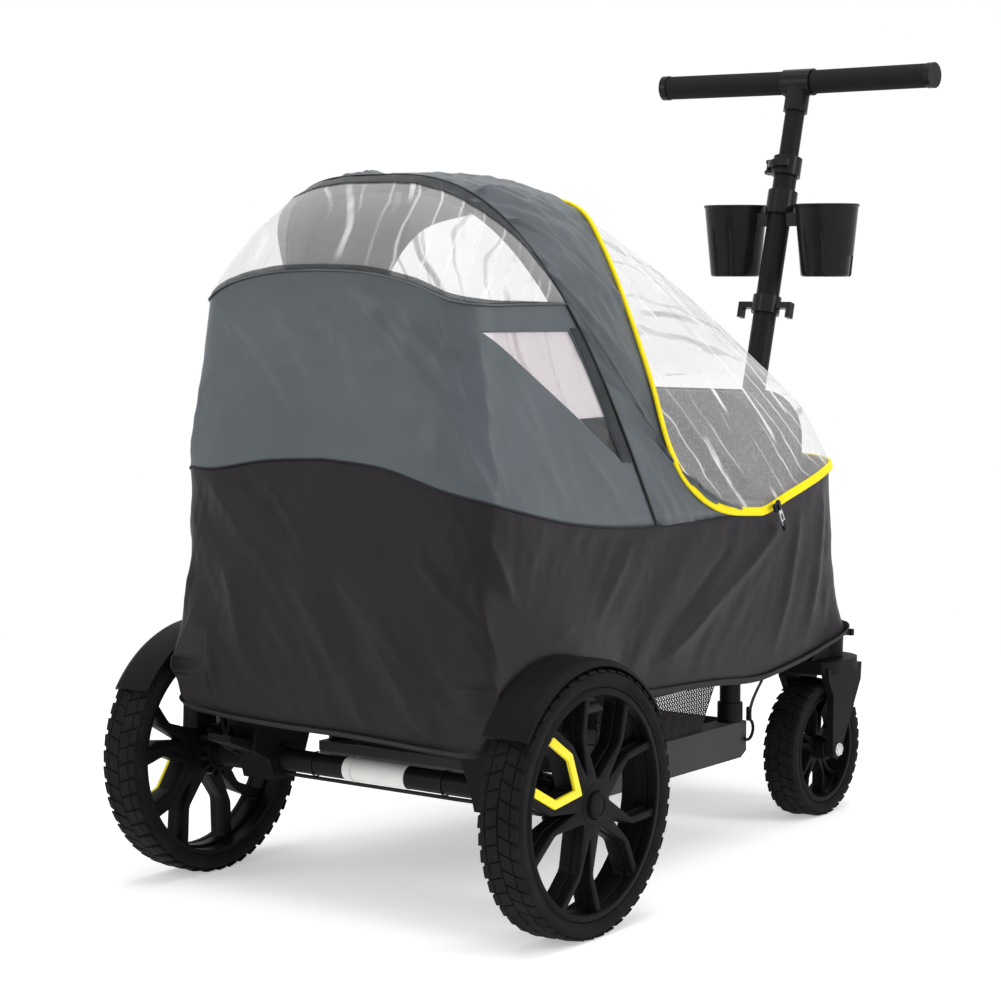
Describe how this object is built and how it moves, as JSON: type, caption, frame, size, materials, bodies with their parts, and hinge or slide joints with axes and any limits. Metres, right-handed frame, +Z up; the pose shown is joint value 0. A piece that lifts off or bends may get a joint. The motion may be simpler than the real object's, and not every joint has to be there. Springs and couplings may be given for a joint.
{
  "type": "wagon with pull handle",
  "caption": "Stroller wagon with a fitted weather cover, clear hood windows, swivelling front wheels and a telescopic pull handle with cup holders.",
  "frame": {"origin": "middle of the bounding box on the floor", "axes": "+X forwards towards the handle, +Y to the wagon's left, +Z up"},
  "size_m": [1.1701, 0.6344, 1.0577],
  "materials": {
    "frame_black": "satin black coating",
    "moulding_black": "fine moulded texture",
    "moulding_grey": "matte moulded",
    "gloss_black": "polished moulded",
    "steel": "bright",
    "tyre": "matte moulded foam",
    "rim": "matte moulded",
    "accent_yellow": "plain",
    "zip_yellow": "plain",
    "cover_fabric": "coated woven polyester",
    "skirt_fabric": "coated woven polyester",
    "film": "flexible clear film",
    "mesh": "open woven mesh",
    "basket_fabric": "melange weave",
    "canopy_lining": "plain weave",
    "webbing": "elastic webbing",
    "grip": "soft foam grip"
  },
  "bodies": {
    "root": {"rear_axle_tube": "frame_black", "rear_axle_pins": "steel", "rear_brackets": "moulding_black", "brake_cable": "moulding_black", "fenders": "moulding_grey", "footwell_pan": "moulding_grey", "posts": "frame_black", "footwell_mesh": "mesh", "lower_frame": "frame_black", "upper_rails": "frame_black", "basket_floor": "basket_fabric", "basket_walls": "basket_fabric", "seat_cushions": "basket_fabric", "caster_housings": "moulding_black", "handle_bracket": "frame_black", "canopy_hoops": "moulding_black", "canopy_sheet": "canopy_lining", "skirt_rear": "skirt_fabric", "skirt_sides": "skirt_fabric", "skirt_front": "skirt_fabric", "cover_rear_panel": "cover_fabric", "cover_side_panels": "cover_fabric", "side_windows": "film", "cover_hood": "cover_fabric", "rear_film": "film", "front_film": "film", "cover_zip": "zip_yellow", "zip_sliders": "moulding_black", "tie_downs": "webbing"},
    "rear_wheel_left": {"rear_tyre_left": "tyre", "rear_rim_left": "rim", "rim_insert_left": "accent_yellow"},
    "rear_wheel_right": {"rear_tyre_right": "tyre", "rear_rim_right": "rim", "rim_insert_right": "accent_yellow"},
    "hub_button_left": {"hub_button_left": "moulding_grey"},
    "hub_button_right": {"hub_button_right": "moulding_grey"},
    "caster_left": {"caster_fork_left": "moulding_black", "fork_axle_left": "steel"},
    "caster_right": {"caster_fork_right": "moulding_black", "fork_axle_right": "steel"},
    "front_wheel_left": {"front_tyre_left": "tyre", "front_rim_left": "rim"},
    "front_wheel_right": {"front_tyre_right": "tyre", "front_rim_right": "rim"},
    "swivel_lock_left": {"swivel_lock_left": "moulding_black"},
    "swivel_lock_right": {"swivel_lock_right": "moulding_black"},
    "brake_pedal": {"brake_pedal": "moulding_black"},
    "brake_pin_left": {"brake_pin_left": "steel"},
    "brake_pin_right": {"brake_pin_right": "steel"},
    "handle": {"handle_tube": "frame_black", "clamp_collar": "gloss_black", "cup_bracket": "gloss_black", "cup_holders": "gloss_black", "hook_clip": "gloss_black"},
    "handle_upper": {"inner_tube": "frame_black", "tee_joint": "gloss_black", "grips": "grip", "end_caps": "gloss_black"},
    "clamp_lever": {"clamp_lever": "gloss_black"}
  },
  "joints": [
    {"name": "rear_wheel_left_spin", "type": "hinge", "parent": "root", "child": "rear_wheel_left", "pos_m": [-0.429, 0.288, 0.155], "axis": [0, 1, 0], "continuous": true},
    {"name": "hub_button_left_press", "type": "slide", "parent": "rear_wheel_left", "child": "hub_button_left", "axis": [0, -1, 0], "range_m": [0, 0.003], "stiffness_N_per_m": 800},
    {"name": "caster_left_swivel", "type": "hinge", "parent": "root", "child": "caster_left", "pos_m": [0.344, 0.175, 0.23], "axis": [0, 0, 1], "continuous": true},
    {"name": "front_wheel_left_spin", "type": "hinge", "parent": "caster_left", "child": "front_wheel_left", "pos_m": [0.314, 0.175, 0.095], "axis": [0, 1, 0], "continuous": true},
    {"name": "swivel_lock_left_tilt", "type": "hinge", "parent": "root", "child": "swivel_lock_left", "pos_m": [0.375, 0.175, 0.246], "axis": [0, 1, 0], "range_deg": [0, 20]},
    {"name": "rear_wheel_right_spin", "type": "hinge", "parent": "root", "child": "rear_wheel_right", "pos_m": [-0.429, -0.288, 0.155], "axis": [0, 1, 0], "continuous": true},
    {"name": "hub_button_right_press", "type": "slide", "parent": "rear_wheel_right", "child": "hub_button_right", "axis": [0, 1, 0], "range_m": [0, 0.003], "stiffness_N_per_m": 800},
    {"name": "caster_right_swivel", "type": "hinge", "parent": "root", "child": "caster_right", "pos_m": [0.344, -0.175, 0.23], "axis": [0, 0, 1], "continuous": true},
    {"name": "front_wheel_right_spin", "type": "hinge", "parent": "caster_right", "child": "front_wheel_right", "pos_m": [0.314, -0.175, 0.095], "axis": [0, 1, 0], "continuous": true},
    {"name": "swivel_lock_right_tilt", "type": "hinge", "parent": "root", "child": "swivel_lock_right", "pos_m": [0.375, -0.175, 0.246], "axis": [0, 1, 0], "range_deg": [0, 20]},
    {"name": "brake_pedal_press", "type": "hinge", "parent": "root", "child": "brake_pedal", "pos_m": [-0.475, 0.18, 0.176], "axis": [0, -1, 0], "range_deg": [0, 22]},
    {"name": "brake_pin_left_slide", "type": "slide", "parent": "root", "child": "brake_pin_left", "axis": [0, 1, 0], "range_m": [0, 0.009]},
    {"name": "brake_pin_right_slide", "type": "slide", "parent": "root", "child": "brake_pin_right", "axis": [0, -1, 0], "range_m": [0, 0.009]},
    {"name": "handle_pivot", "type": "hinge", "parent": "root", "child": "handle", "pos_m": [0.351, 0, 0.262], "axis": [0, 1, 0], "range_deg": [-10, 65]},
    {"name": "handle_telescope", "type": "slide", "parent": "handle", "child": "handle_upper", "axis": [0.2672, 0, 0.9636], "range_m": [-0.07, 0.13]},
    {"name": "clamp_lever_open", "type": "hinge", "parent": "handle", "child": "clamp_lever", "pos_m": [0.52978, 0.029, 0.90667], "axis": [-0.2672, 0, -0.9636], "range_deg": [0, 100]}
  ],
  "couplings": [
    {"joint": "brake_pin_left_slide", "follows": "brake_pedal_press", "m_per_rad": 0.02339},
    {"joint": "brake_pin_right_slide", "follows": "brake_pedal_press", "m_per_rad": 0.02339}
  ]
}
